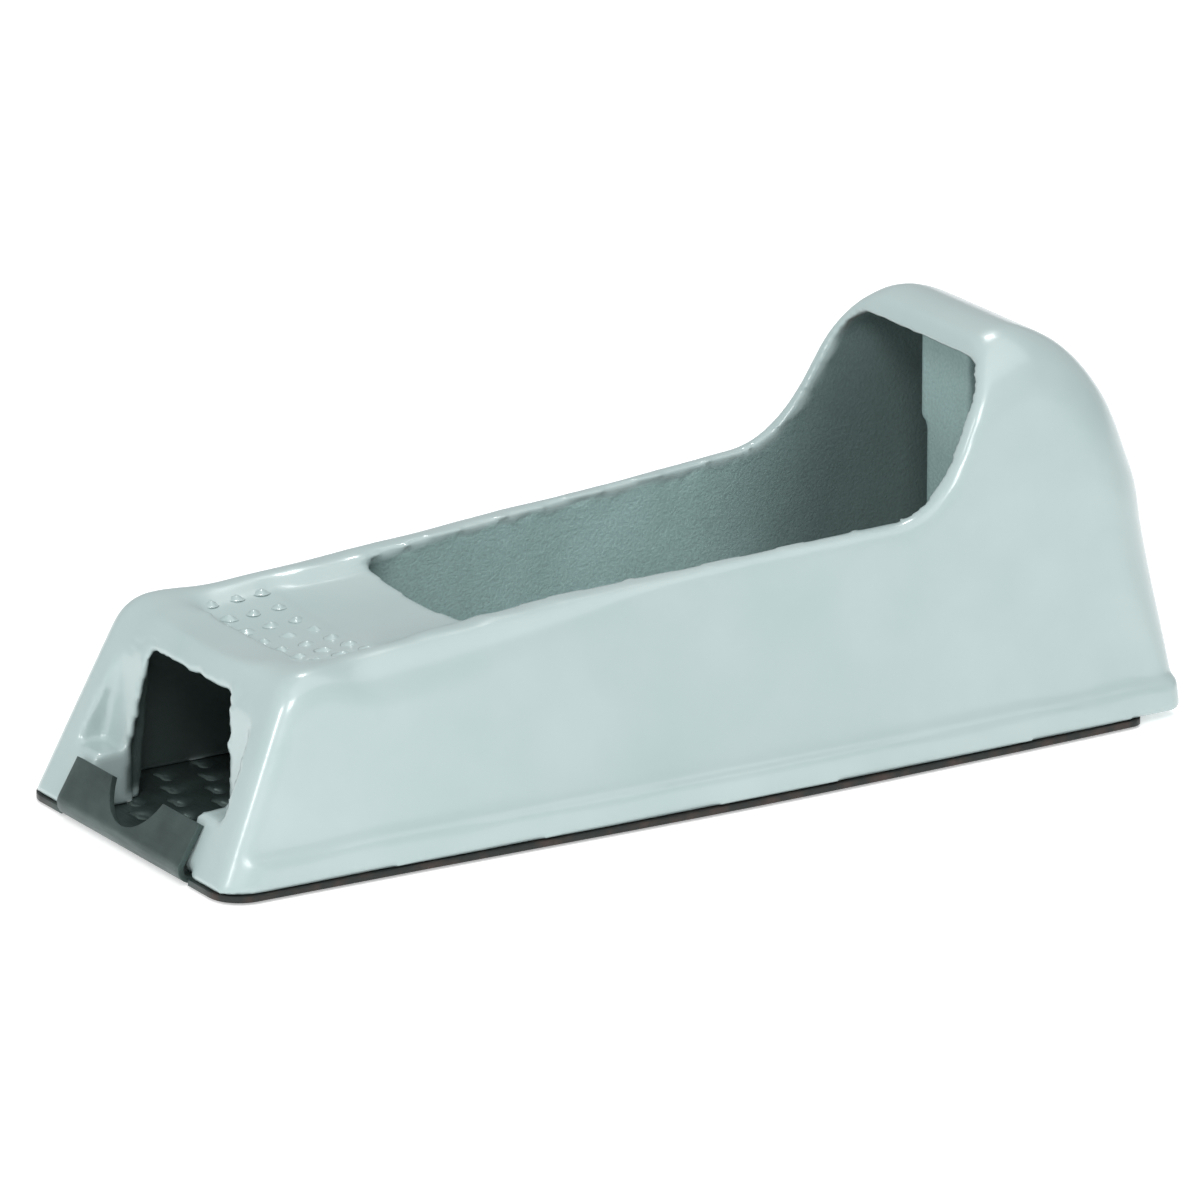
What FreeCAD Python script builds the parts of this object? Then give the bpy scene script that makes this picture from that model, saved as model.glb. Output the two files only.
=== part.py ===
import FreeCAD, Part
import math
import os

# Pocket rasp plane: a die-cast body held in one hand, with a perforated rasp
# blade as its sole. The blade's turned-up ends hook over the toe of the body
# and over a plate inside the heel, which a screw draws back to stretch it.
#
# Frame: +X runs from toe to heel, +Z is up and Z = 0 is the blade's underside.
# The origin is at the bottom centre of the bounding box.

V = FreeCAD.Vector

# ---------------------------------------------------------------- dimensions
LENGTH = 146.0                # fold of the blade's toe tab to the heel's back
HEIGHT = 52.5                 # crown of the heel above the sole
FRONT = -LENGTH / 2
REAR = LENGTH / 2

SHEET = 0.8                   # thickness of the blade
BLADE_LENGTH = 140.0
TAB_HALF = 15.6               # half-width of the turned-up tabs
TAB_HEIGHT = 7.6
TAB_LEAN = 31.0               # degrees that a tab leans inwards
TAB_BEND = 1.9                # outside radius of a tab's fold
NOTCH_RADIUS = 7.0
NOTCH_Z = 10.3
TOOTH_LENGTH = 3.4            # one slot of the rasp, across the plane
TOOTH_WIDTH = 1.9
TOOTH_STEP = (4.8, -3.0)      # from slot to slot along a slanting row
ROW_STEP = (1.8, 4.9)         # from row to row
TOOTH_MARGIN = 3.4            # plain border round the slots

TOE_X = -72.0                 # toe face at the body's underside
TOE_RAKE = 65.0               # degrees up from the sole
TOE_LINE_Z = 22.4             # where the toe face starts to roll over
DECK_X = -55.6                # where the roll ends on the deck
DECK_Z = 26.75
RISE = 0.05                   # slope of the deck and rim
RIM_END = 30.0                # where the rim starts to climb to the crown
CROWN_FRONT = (48.4, 51.6)
CROWN_REAR = (57.0, 51.5)
HEEL_KNEE = (71.9, 26.0)

SHOULDER = 7.0                # roll from the finger pad to the sides
SHOULDER_X = -49.0            # where that roll reaches its full radius
TOE_ROLL = 3.0
HEEL_ROLL = 3.0
CORNER = 4.5                  # plan radius of the front corners
BEAD = 1.8                    # roll of the thin rim round the opening
CROWN_ROLL = 9.0

FOOT_TOP = 4.6                # proud band round the body's bottom edge
FOOT_PROUD = 0.8
FOOT_DRAW = 0.5

WINDOW_HALF = (10.2, 13.0)    # window through the toe, at its top and at the ledge
WINDOW_TOP = 21.8
WINDOW_WALL = 1.1             # thickness of the toe's wall round the window
LEDGE_Z = 8.2                 # floor of the pockets beside the window
POCKET_TOP = (21.4, 16.6)     # height and half-width of a pocket's tip
POCKET_LOW = (6.0, 18.8)
POCKET_BACK = (-62.6, -64.3)  # back wall, at its top and at the ledge

PAD_FRONT = -57.2             # dotted finger pad
PAD_REAR = -39.0
PAD_HALF = 15.2
PAD_Z = 24.25                 # bottom of its hollow at mid-length
PAD_DISH = 75.0
SADDLE_Z = 25.5               # dip of the toe's top edge
SADDLE_DISH = 110.0
DECK_HALF = 13.8
DECK_UNDER = 21.6             # underside of the deck at the toe
DOT_COLUMNS = 4
DOT_ROWS = 7
DOT_STEP = (3.7, 4.5)
DOT_FIRST_X = -55.0
DOT_RADIUS = 1.25
DOT_HEIGHT = 0.55

MOUTH_X = -27.7               # front edge of the hand opening
ARCH_Z = 49.3                 # inside top of the crown
ARCH_ROLL = 6.0               # roll of the hollow's upper corners
WEB_X = 51.8                  # front face of the web inside the heel
WEB_HALF = 5.0
WEB_STEP_Z = 35.5
WEB_STEP = 1.5
WEB_BOTTOM = 16.0

SCREW_Z = 9.6
SCREW_RADIUS = 2.0
SCREW_LENGTH = 16.0
HEAD_RADIUS = 4.0
HEAD_HEIGHT = 2.5
SLOT = (1.1, 1.2)             # width and depth of the screwdriver slot
WASHER_RADIUS = 4.5
WASHER_THICK = 0.8
SEAT_RADIUS = 5.4
SEAT_X = 69.6
BOSS_RADIUS = 8.5
BOSS_X = 67.5
PLATE_HALF = 13.0             # tension plate inside the heel
PLATE_TOP = 14.0
PLATE_THICK = 5.0
FIT = 0.05                    # radial clearance of turning or sliding fits
GAP = 0.3                     # between pieces that do not bear on each other
JOIN_TOLERANCE = 0.01         # within which the body's lengths meet

# Plan of the body: station along X, half-width at its underside, and
# half-width at the level UPPER. It is waisted behind the finger pad.
UPPER = 30.0
FORM = [(-84, 25.7, 21.6), (-60, 26.2, 21.4), (-40, 26.6, 20.9), (-22, 27.1, 19.8), (-4, 27.5, 18.9),
        (12, 27.6, 19.4), (28, 27.4, 20.8), (44, 27.1, 21.5), (58, 26.7, 21.4), (84, 25.2, 20.0)]
HOLLOW = [(-84, 22.8, 15.5), (-60, 23.2, 14.5), (-40, 23.6, 13.6), (-25, 24.1, 13.4), (-4, 24.6, 15.3),
          (12, 24.7, 16.6), (28, 24.6, 17.9), (40, 24.4, 19.0), (58, 24.0, 18.9), (84, 22.6, 17.6)]
FORM_TOP = 60.0


# ------------------------------------------------------------------- helpers
def line(a, b):
    return Part.makeLine(V(*a), V(*b))


def curve(points, start=None, end=None):
    """Smooth curve through the points, with end tangents where they are given."""
    spline = Part.BSplineCurve()
    if start is None:
        spline.interpolate([V(*p) for p in points])
    else:
        spline.interpolate([V(*p) for p in points], InitialTangent=V(*start), FinalTangent=V(*end))
    return spline.toShape()


def side(x, z):
    """Point of the side view."""
    return (x, 0.0, z)


def heading(dx, dz, size):
    """Tangent of the side view, with the given length."""
    length = math.hypot(dx, dz)
    return (size * dx / length, 0.0, size * dz / length)


def slab(edges, half=45.0):
    """Solid with the given side view, 2 * half wide."""
    face = Part.Face(Part.Wire(Part.__sortEdges__(edges)))
    face.translate(V(0, -half, 0))
    return face.extrude(V(0, 2 * half, 0))


def polygon_slab(points, half=45.0):
    corners = [side(x, z) for x, z in points]
    return slab([line(a, b) for a, b in zip(corners, corners[1:] + corners[:1])], half)


def box(x0, x1, y0, y1, z0, z1):
    return Part.makeBox(x1 - x0, y1 - y0, z1 - z0, V(x0, y0, z0))


def rod(radius, x0, x1, y=0.0, z=SCREW_Z):
    return Part.makeCylinder(radius, x1 - x0, V(x0, y, z), V(1, 0, 0))


def both(shape):
    """The shape with its mirror image on the other side of the plane's middle."""
    return shape.fuse(shape.mirror(V(0, 0, 0), V(0, 1, 0)))


def plan(stations, z):
    """Closed plan outline at height z."""
    share = (z - SHEET) / (UPPER - SHEET)
    far = [(x, low + (high - low) * share, z) for x, low, high in stations]
    near = [(x, -y, z) for x, y, z in reversed(far)]
    return Part.Wire([curve(far), line(far[-1], near[0]), curve(near), line(near[-1], far[0])])


def draft_form(stations, z0, z1):
    """Solid with drafted sides, far longer than the body at both ends."""
    return Part.makeLoft([plan(stations, z0), plan(stations, z1)], True, True)


def roll_edges(shape, rolls):
    """Round edges. rolls holds (x, y, z, radius, radius): a point near the middle
    of an edge, and its radius at the toe end and at the heel end."""
    picked = []
    for x, y, z, toe_radius, heel_radius in rolls:
        for number, edge in enumerate(shape.Edges, 1):
            middle = edge.valueAt((edge.FirstParameter + edge.LastParameter) / 2)
            if V(middle.x - x, middle.y - y, middle.z - z).Length < 1.5:
                heelward = edge.valueAt(edge.FirstParameter).x < edge.valueAt(edge.LastParameter).x
                radii = (toe_radius, heel_radius) if heelward else (heel_radius, toe_radius)
                picked.append((number,) + radii)
    document = FreeCAD.newDocument()
    base = document.addObject("Part::Feature", "Base")
    base.Shape = shape
    rounded = document.addObject("Part::Fillet", "Rounded")
    rounded.Base = base
    rounded.Edges = picked
    document.recompute()
    result = rounded.Shape.copy()
    FreeCAD.closeDocument(document.Name)
    return result


def save(shape, name):
    shape.exportStep("parts/" + name + ".step")


# ---------------------------------------------------------------------- body
def toe_x(z):
    """Toe face at height z."""
    return TOE_X + (z - SHEET) / math.tan(math.radians(TOE_RAKE))


def deck_z(x):
    """Deck and rim line at station x."""
    return DECK_Z + RISE * (x - DECK_X)


def side_view():
    """Outline of the body seen from the side: toe, deck, S-curve, crown and back."""
    rake = math.radians(TOE_RAKE)
    along = heading(1, RISE, 30)
    climb = heading(2.8, 4.9, 30)
    fall = (1.0, -0.42)
    toe_low = side(TOE_X, SHEET)
    toe_high = side(toe_x(TOE_LINE_Z), TOE_LINE_Z)
    marks = [DECK_X, SHOULDER_X, PAD_REAR, -22.0, -4.0, RIM_END]
    edges = [line(toe_low, toe_high)]
    edges.append(curve([toe_high, side(-60.2, 25.6), side(DECK_X, DECK_Z)],
                       heading(math.cos(rake), math.sin(rake), 6), heading(1, RISE, 6)))
    for a, b in zip(marks, marks[1:]):
        edges.append(line(side(a, deck_z(a)), side(b, deck_z(b))))
    edges.append(curve([side(RIM_END, deck_z(RIM_END)), side(34.8, 32.1), side(38.0, 34.4), side(40.6, 37.6),
                        side(43.0, 42.0), side(45.6, 46.9), side(*CROWN_FRONT)], along, climb))
    edges.append(curve([side(*CROWN_FRONT), side(52.0, HEIGHT), side(*CROWN_REAR)],
                       heading(3.0, 1.1, 9), heading(*fall, 9)))
    edges.append(curve([side(*CROWN_REAR), side(61.5, 48.9), side(65.5, 44.7), side(68.5, 39.4),
                        side(70.6, 33.0), side(*HEEL_KNEE)],
                       heading(*fall, 30), heading(REAR - HEEL_KNEE[0], SHEET - HEEL_KNEE[1], 30)))
    edges.append(line(side(*HEEL_KNEE), side(REAR, SHEET)))
    edges.append(line(side(REAR, SHEET), toe_low))
    return edges


def outer_form():
    """Body without its hollow: drafted sides cut to the side view, with rolled edges.

    Half of it is made, in lengths, so that the roll can grow and shrink along it.
    """
    side_slab = slab(side_view())
    stations = [(x, low - FOOT_PROUD, high) for x, low, high in FORM]
    form = draft_form(stations, SHEET, FORM_TOP).common(side_slab).Solids[0]
    half = form.common(box(-90, 90, 0, 60, -1, 70)).Solids[0]
    heel_low = box(30, 90, -1, 60, -1, HEEL_KNEE[1])
    upper = roll_edges(half.cut(heel_low).Solids[0], [(52.7, 17.4, 52.5, CROWN_ROLL, CROWN_ROLL),
                                                      (67.5, 19.0, 41.5, CROWN_ROLL, CROWN_ROLL)])
    lower = roll_edges(half.common(heel_low).Solids[0], [(72.4, 23.4, 13.4, CROWN_ROLL, HEEL_ROLL)])
    half = upper.fuse(lower).removeSplitter().Solids[0]
    cuts = [-90.0, DECK_X, SHOULDER_X, PAD_REAR, -22.0, -4.0, 90.0]
    lengths = [half.common(box(x0, x1, -1, 60, -1, 70)).Solids[0] for x0, x1 in zip(cuts, cuts[1:])]
    rolls = [[(-67.0, 24.0, 11.6, TOE_ROLL, TOE_ROLL), (-59.6, 22.0, 26.1, TOE_ROLL, TOE_ROLL)],
             [(-52.3, 21.8, 26.9, TOE_ROLL, SHOULDER)],
             [(-44.0, 21.5, 27.3, SHOULDER, SHOULDER)],
             [(-30.5, 20.8, 28.0, SHOULDER, 5.0)],
             [(-13.0, 19.5, 28.9, 5.0, BEAD)],
             [(13.0, 19.4, 30.2, BEAD, BEAD), (37.9, 20.5, 34.3, BEAD, BEAD),
              (46.5, 16.2, 48.3, BEAD, BEAD), (48.4, 5.0, 51.6, BEAD, BEAD)]]
    rolled = [roll_edges(length, roll) for length, roll in zip(lengths, rolls)]
    half = rolled[0].fuse(rolled[1:], JOIN_TOLERANCE)
    return both(half).fuse(foot(side_slab)).removeSplitter()


def foot(side_slab):
    """Proud band round the bottom edge, drawn in a little towards its top."""
    outlines = []
    for z, inset in ((SHEET, 0.0), (FOOT_TOP, FOOT_DRAW)):
        outlines.append(plan([(x, low - inset, low - inset) for x, low, high in FORM], z))
    band = Part.makeLoft(outlines, True, True).common(side_slab).Solids[0]
    for radius, end in ((CORNER, -1), (HEEL_ROLL, 1)):
        picked = [edge for edge in band.Edges
                  if abs(edge.Vertexes[0].Z - edge.Vertexes[-1].Z) > 3 and edge.CenterOfMass.x * end > 0]
        band = band.makeFillet(radius, picked)
    return band


def dish(radius, x, z, x0, x1):
    """Round hollow along the deck's slope, its lowest line at height z at station x."""
    length = (x1 - x0) * math.hypot(1, RISE)
    centre = V(x0, 0, z + RISE * (x0 - x) + radius)
    return Part.makeCylinder(radius, length, centre, V(1, 0, RISE))


def hollow():
    """Inside of the body, open below, with the hand opening above it."""
    low = SHEET - 1.0
    back = [(54.5, 49.2), (58.8, 47.3), (62.8, 43.0), (65.8, 37.8), (67.7, 31.8)]
    inner_rear = REAR - 3.1
    edges = [line(side(-61.4, low), side(-59.2, DECK_UNDER)),
             line(side(-59.2, DECK_UNDER), side(MOUTH_X, DECK_UNDER + 1.4)),
             line(side(MOUTH_X, DECK_UNDER + 1.4), side(MOUTH_X, ARCH_Z)),
             line(side(MOUTH_X, ARCH_Z), side(50.0, ARCH_Z)),
             curve([side(50.0, ARCH_Z)] + [side(*p) for p in back] + [side(68.9, 25.0)],
                   heading(1, 0, 22), heading(1.0, -24.0, 22)),
             line(side(68.9, 25.0), side(inner_rear, low)),
             line(side(inner_rear, low), side(-61.4, low))]
    space = draft_form(HOLLOW, low, FORM_TOP).common(slab(edges)).Solids[0]
    corners = [edge for edge in space.Edges
               if abs(edge.CenterOfMass.y) > 10 and edge.CenterOfMass.z > 35
               and edge.CenterOfMass.x > MOUTH_X + 5]
    return space.makeFillet(ARCH_ROLL, corners)


def across(points, x0, x1):
    """Bar along X from x0 to x1. points are (y, z) of one half of its section."""
    outline = [V(x0, y, z) for y, z in points] + [V(x0, -y, z) for y, z in reversed(points)]
    return Part.Face(Part.makePolygon(outline + outline[:1])).extrude(V(x1 - x0, 0, 0))


def toe_window():
    """Window through the toe, the pocket on each side of it and the thin wall round it."""
    top_z, top_half = POCKET_TOP
    low_z, low_half = POCKET_LOW
    ledge_half = top_half + (low_half - top_half) * (top_z - LEDGE_Z) / (top_z - low_z)
    back = [(POCKET_BACK[0], top_z), (POCKET_BACK[1], LEDGE_Z)]
    pocket = polygon_slab([(FRONT - 5, top_z), back[0], back[1], (FRONT - 5, LEDGE_Z)])
    pocket = pocket.common(across([(top_half, top_z), (ledge_half, LEDGE_Z)], FRONT - 5, FRONT + 30))
    window = across([(WINDOW_HALF[0], WINDOW_TOP), (WINDOW_HALF[1], LEDGE_Z), (WINDOW_HALF[1], -1.0)],
                    FRONT - 5, -57.5)
    thinned = polygon_slab([(back[0][0] + WINDOW_WALL, WINDOW_TOP), (back[1][0] + WINDOW_WALL, LEDGE_Z),
                            (back[1][0] + WINDOW_WALL, -1.0), (-57.5, -1.0), (-57.5, WINDOW_TOP)],
                           WINDOW_HALF[1] + 1.5)
    return window.fuse([pocket, thinned])


def heel_web():
    """Upright web on the middle of the heel's inner wall, wider on one side above its step."""
    lower = box(WEB_X, REAR, -WEB_HALF, WEB_HALF, WEB_BOTTOM, HEIGHT)
    upper = box(WEB_X, REAR, WEB_HALF - 1, WEB_HALF + WEB_STEP, WEB_STEP_Z, HEIGHT)
    return lower.fuse(upper)


def dots():
    """Raised dots of the finger pad, as caps of spheres that follow its hollow."""
    ball = (DOT_RADIUS ** 2 + DOT_HEIGHT ** 2) / (2 * DOT_HEIGHT)
    caps = []
    for column in range(DOT_COLUMNS):
        x = DOT_FIRST_X + column * DOT_STEP[0]
        for row in range(DOT_ROWS):
            y = (row - (DOT_ROWS - 1) / 2) * DOT_STEP[1]
            z = pad_z(x, y)
            cap = Part.makeSphere(ball, V(x, y, z + DOT_HEIGHT - ball))
            caps.append(cap.common(box(x - 3, x + 3, y - 3, y + 3, z - 1.2, z + 3)))
    return caps


def pad_z(x, y):
    """Height of the finger pad's surface."""
    middle = (PAD_FRONT + PAD_REAR) / 2
    return PAD_Z + RISE * (x - middle) + PAD_DISH - math.sqrt(PAD_DISH ** 2 - y ** 2)


def make_body():
    outer = outer_form()
    middle = (PAD_FRONT + PAD_REAR) / 2
    saddle = dish(SADDLE_DISH, PAD_FRONT, SADDLE_Z, FRONT - 5, MOUTH_X + 1)
    pad = dish(PAD_DISH, middle, PAD_Z, PAD_FRONT, MOUTH_X + 1)
    pad = pad.common(box(PAD_FRONT, PAD_REAR, -PAD_HALF, PAD_HALF, 15, 40)
                     .fuse(box(PAD_REAR - 1, MOUTH_X + 1, -DECK_HALF, DECK_HALF, 15, 40)))
    body = outer.cut(saddle).cut(pad)
    space = hollow().cut(heel_web())
    body = body.cut(space)
    boss = rod(BOSS_RADIUS, BOSS_X, REAR - 1)
    body = body.fuse(boss.common(outer))
    body = body.cut(toe_window())
    body = body.cut(polygon_slab([(FRONT - 2, -1), (TOE_X + 1.4, -1),
                                  (TOE_X + 1.4, SHEET), (TOE_X + 0.4, 3.4),
                                  (FRONT - 2, 3.4)], TAB_HALF + 0.8))
    body = body.cut(rod(SEAT_RADIUS, SEAT_X, REAR + 5))
    body = body.cut(rod(SCREW_RADIUS + 0.25, BOSS_X - 5, SEAT_X + 1))
    body = body.fuse(dots()).removeSplitter()
    return max(body.Solids, key=lambda solid: solid.Volume)


def tab(sign):
    """Turned-up end of the blade at the toe (sign -1) or the heel (sign 1)."""
    lean = math.radians(TAB_LEAN)
    end = BLADE_LENGTH / 2
    inner = TAB_BEND - SHEET
    turn = math.radians(90 + TAB_LEAN)

    def at(radius, angle):
        return (-TAB_BEND + radius * math.sin(angle), TAB_BEND - radius * math.cos(angle))

    rise = (TAB_HEIGHT - at(TAB_BEND, turn)[1]) / math.cos(lean)
    outside = [at(TAB_BEND, turn * k / 2) for k in range(3)]
    inside = [at(inner, turn * k / 2) for k in range(3)]
    tip = [(x - rise * math.sin(lean), z + rise * math.cos(lean)) for x, z in (outside[2], inside[2])]

    def place(point):
        return V(sign * (end + point[0]) + FRONT + end, 0, point[1])

    edges = [Part.Arc(*[place(p) for p in outside]).toShape(),
             Part.makeLine(place(outside[2]), place(tip[0])),
             Part.makeLine(place(tip[0]), place(tip[1])), Part.makeLine(place(tip[1]), place(inside[2])),
             Part.Arc(*[place(p) for p in reversed(inside)]).toShape(),
             Part.makeLine(place(inside[0]), place(outside[0]))]
    strip = slab(edges, TAB_HALF)
    notch = Part.makeCylinder(NOTCH_RADIUS, 20, V(place((0, 0)).x - 10, 0, NOTCH_Z), V(1, 0, 0))
    return strip.cut(notch)


def tooth_slot(x, y, length, width):
    """Slot under one tooth of the rasp: a lens with a blunt end, as a closed outline."""
    shape = [(-0.5, -0.9), (0.35, -0.55), (0.5, 0.0), (0.35, 0.55), (-0.5, 0.9), (-0.15, 0.0)]
    points = [V(x + u * width, y + v * length / 2, 0) for u, v in shape]
    return Part.Wire(Part.makePolygon(points + points[:1]))


def slot_places():
    """Middles of the rasp's slots, in slanting rows, clear of the blade's border."""
    places = []
    half_x = BLADE_LENGTH / 2 - 2 * TOOTH_MARGIN
    for row in range(-24, 25):
        for step in range(-24, 25):
            x = FRONT + BLADE_LENGTH / 2 + step * TOOTH_STEP[0] + row * ROW_STEP[0]
            y = step * TOOTH_STEP[1] + row * ROW_STEP[1]
            if abs(x - FRONT - BLADE_LENGTH / 2) < half_x and abs(y) < 25.8 - TOOTH_MARGIN:
                places.append((x, y))
    return places


def make_blade():
    back = FRONT + BLADE_LENGTH
    sheet = Part.Face(plan(FORM, 0.0)).extrude(V(0, 0, SHEET))
    sheet = sheet.common(box(TOE_X, back - 1.0, -60, 60, 0, SHEET)).Solids[0]
    for radius, end in ((CORNER, -1), (2.0, 1)):
        picked = [edge for edge in sheet.Edges
                  if abs(edge.Vertexes[0].Z - edge.Vertexes[-1].Z) > 0.5 and edge.CenterOfMass.x * end > 0]
        sheet = sheet.makeFillet(radius, picked)
    relief = TAB_HALF + 0.7
    sheet = sheet.cut(box(FRONT - 5, FRONT + TAB_BEND, -relief, relief, -1, 2))
    sheet = sheet.cut(box(back - TAB_BEND, back + 5, -relief, relief, -1, 2))
    under = [face for face in sheet.Faces if face.normalAt(0, 0).z < -0.9][0]
    slots = [tooth_slot(x, y, TOOTH_LENGTH, TOOTH_WIDTH) for x, y in slot_places()]
    sheet = Part.Face([under.OuterWire] + slots).extrude(V(0, 0, SHEET))
    return sheet.fuse([tab(-1), tab(1)]).removeSplitter()


def make_screw():
    bearing = SEAT_X + WASHER_THICK
    shank = rod(SCREW_RADIUS, bearing - SCREW_LENGTH, bearing + 0.5)
    tip = Part.makeCone(SCREW_RADIUS - 0.6, SCREW_RADIUS + 0.2, 0.8,
                        V(bearing - SCREW_LENGTH, 0, SCREW_Z), V(1, 0, 0))
    far = box(bearing - SCREW_LENGTH + 0.8, REAR + 5, -9, 9, 0, 20)
    shank = shank.common(tip.fuse(far))
    head = rod(HEAD_RADIUS, bearing, bearing + HEAD_HEIGHT)
    rim = [edge for edge in head.Edges if abs(edge.CenterOfMass.x - bearing - HEAD_HEIGHT) < 0.01]
    head = head.makeFillet(0.7, rim)
    end = bearing + HEAD_HEIGHT
    slot = box(end - SLOT[1], end + 1, -5, 5, SCREW_Z - SLOT[0] / 2, SCREW_Z + SLOT[0] / 2)
    return head.fuse(shank).cut(slot).removeSplitter()


def make_washer():
    ring = rod(WASHER_RADIUS, SEAT_X, SEAT_X + WASHER_THICK)
    return ring.cut(rod(SCREW_RADIUS + 0.2, SEAT_X - 1, SEAT_X + 3))


def make_plate():
    """Plate that the screw draws back against the blade's heel tab."""
    lean = math.tan(math.radians(TAB_LEAN))
    heel_end = FRONT + BLADE_LENGTH
    foot = SHEET + GAP
    face = heel_end - SHEET / math.cos(math.radians(TAB_LEAN)) - 0.35
    low_x = face - (foot + 1.5 - TAB_BEND) * lean
    top_x = face - (TAB_HEIGHT - TAB_BEND) * lean
    outline = [(low_x - PLATE_THICK, foot), (low_x - 1.4, foot), (low_x, foot + 1.5), (top_x, TAB_HEIGHT),
               (top_x, PLATE_TOP), (low_x - PLATE_THICK, PLATE_TOP)]
    plate = polygon_slab(outline, PLATE_HALF)
    return plate.cut(rod(SCREW_RADIUS + FIT, 40, REAR))


os.makedirs("parts", exist_ok=True)
save(make_body(), "body")
save(make_blade(), "rasp_blade")
save(make_screw(), "tension_screw")
save(make_washer(), "screw_washer")
save(make_plate(), "tension_plate")
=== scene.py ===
"""Looks of the pocket rasp plane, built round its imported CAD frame.

Sizes and places with capital names are in millimetres, and every other length
is in metres. +X runs from toe to heel and Z = 0 is the flat underside of the
blade.
"""

import math

import bmesh
import bpy
import numpy as np
from mathutils import Matrix, Vector, geometry, noise
from mathutils.bvhtree import BVHTree


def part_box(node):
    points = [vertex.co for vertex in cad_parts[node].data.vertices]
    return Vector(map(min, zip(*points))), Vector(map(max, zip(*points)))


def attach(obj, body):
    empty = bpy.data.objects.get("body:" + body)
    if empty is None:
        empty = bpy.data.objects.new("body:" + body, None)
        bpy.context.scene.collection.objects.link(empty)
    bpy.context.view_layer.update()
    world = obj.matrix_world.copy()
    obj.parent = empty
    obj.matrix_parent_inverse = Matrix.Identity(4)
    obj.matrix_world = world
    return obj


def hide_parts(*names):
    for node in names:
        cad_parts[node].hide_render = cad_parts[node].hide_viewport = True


MM = 0.001
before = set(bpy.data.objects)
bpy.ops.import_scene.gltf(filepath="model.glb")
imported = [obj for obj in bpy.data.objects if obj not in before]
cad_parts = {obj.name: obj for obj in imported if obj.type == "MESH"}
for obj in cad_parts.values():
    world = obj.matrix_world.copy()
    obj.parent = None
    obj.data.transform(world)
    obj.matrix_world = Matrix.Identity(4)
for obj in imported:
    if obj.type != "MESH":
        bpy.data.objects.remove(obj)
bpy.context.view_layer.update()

# Sizes that the pieces share.
SHEET = 0.8                    # thickness of the blade
BLADE_HALF = 25.8              # its half-width
BLADE = (-73.0, 67.0)          # folds of the blade's two tabs
TAB_HALF = 15.6                # half-width of the blade's turned-up tabs
TAB_LEAN = math.radians(31.0)
TAB_BEND = 1.9                 # outside radius of a tab's fold
TAB_HEIGHT = 7.6
NOTCH = (7.0, 10.3)            # radius and height of the round notch in a tab
TOOTH_STEP = (4.8, -3.0)       # from slot to slot along a slanting row
ROW_STEP = (1.8, 4.9)          # from row to row
TOOTH_MARGIN = 3.4             # plain border round the slots
TOOTH_DROP = 0.4               # how far a tooth stands below the sheet
RELIEF = 0.7                   # gap beside a tab's root
TOE_FACE = (-72.0, 0.466)      # where the raked toe starts, and its run for each unit of height
POCKET_BACK = (-65.36, 0.129)  # the same for the back wall of the pockets beside the window
PAD = (-57.2, -39.0, 24.25, 75.0)  # front, rear, lowest height and radius of the finger pad
WINDOW_TOP = (10.2, 21.8)      # half-width and height of the toe window's top
WINDOW_SPREAD = 0.206          # how much its half-width grows for each unit of depth
RISE = 0.05                    # slope of the deck


# ------------------------------------------------------------------- helpers
def link(name, mesh):
    piece = bpy.data.objects.new(name, mesh)
    bpy.context.scene.collection.objects.link(piece)
    return piece


def applied(piece):
    """The piece's mesh with its modifiers worked in."""
    depsgraph = bpy.context.evaluated_depsgraph_get()
    mesh = bpy.data.meshes.new_from_object(piece.evaluated_get(depsgraph))
    piece.modifiers.clear()
    piece.data = mesh
    return piece


def shade_smooth(piece):
    piece.data.polygons.foreach_set("use_smooth", [True] * len(piece.data.polygons))
    piece.data.update()


def read_points(mesh):
    points = np.empty(len(mesh.vertices) * 3)
    mesh.vertices.foreach_get("co", points)
    return points.reshape(-1, 3)


def read_normals(mesh):
    normals = np.empty(len(mesh.vertices) * 3)
    mesh.vertices.foreach_get("normal", normals)
    return normals.reshape(-1, 3)


def write_points(mesh, points):
    mesh.vertices.foreach_set("co", points.astype(np.float32).ravel())
    mesh.update()


def read_edges(mesh):
    edges = np.empty(len(mesh.edges) * 2, np.int64)
    mesh.edges.foreach_get("vertices", edges)
    return edges.reshape(-1, 2)


def neighbour_mean(values, edges):
    """Mean of each vertex's neighbours, for one column or several."""
    size = len(values)
    count = np.bincount(edges.ravel(), minlength=size)
    columns = []
    for column in values.reshape(size, -1).T:
        total = np.bincount(edges[:, 0], weights=column[edges[:, 1]], minlength=size)
        total += np.bincount(edges[:, 1], weights=column[edges[:, 0]], minlength=size)
        columns.append(total / np.maximum(count, 1))
    return np.stack(columns, axis=1).reshape(values.shape)


def smoothed(values, edges, rounds, pull=0.5, push=0.0, weight=None):
    """Values drawn to their neighbours' mean. A push undoes the shrinking."""
    for _ in range(rounds):
        for share in (pull, push):
            if share:
                change = share * (neighbour_mean(values, edges) - values)
                values = values + (change if weight is None else change * weight[:, None])
    return values


def step(low, high, values):
    """Smooth step from 0 at low to 1 at high."""
    share = np.clip((values - low) / (high - low), 0, 1)
    return share * share * (3 - 2 * share)


def rise(values, stretch):
    """0 before the stretch (in millimetres), 1 after it."""
    return step(stretch[0] * MM, stretch[1] * MM, values)


def fall(values, stretch):
    """1 before the stretch (in millimetres), 0 after it."""
    return 1 - rise(values, stretch)


def between(values, stretch):
    """Whether each value lies in the stretch (in millimetres)."""
    return (values > stretch[0] * MM) & (values < stretch[1] * MM)


def lumps(points, size_mm, seed):
    """Smooth noise from -1 to 1 at each point, with lumps of that size."""
    offset = Vector((seed * 17.3, seed * 5.1, seed * 9.7))
    return np.array([noise.noise(Vector(p) / (size_mm * MM) + offset) for p in points])


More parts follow.
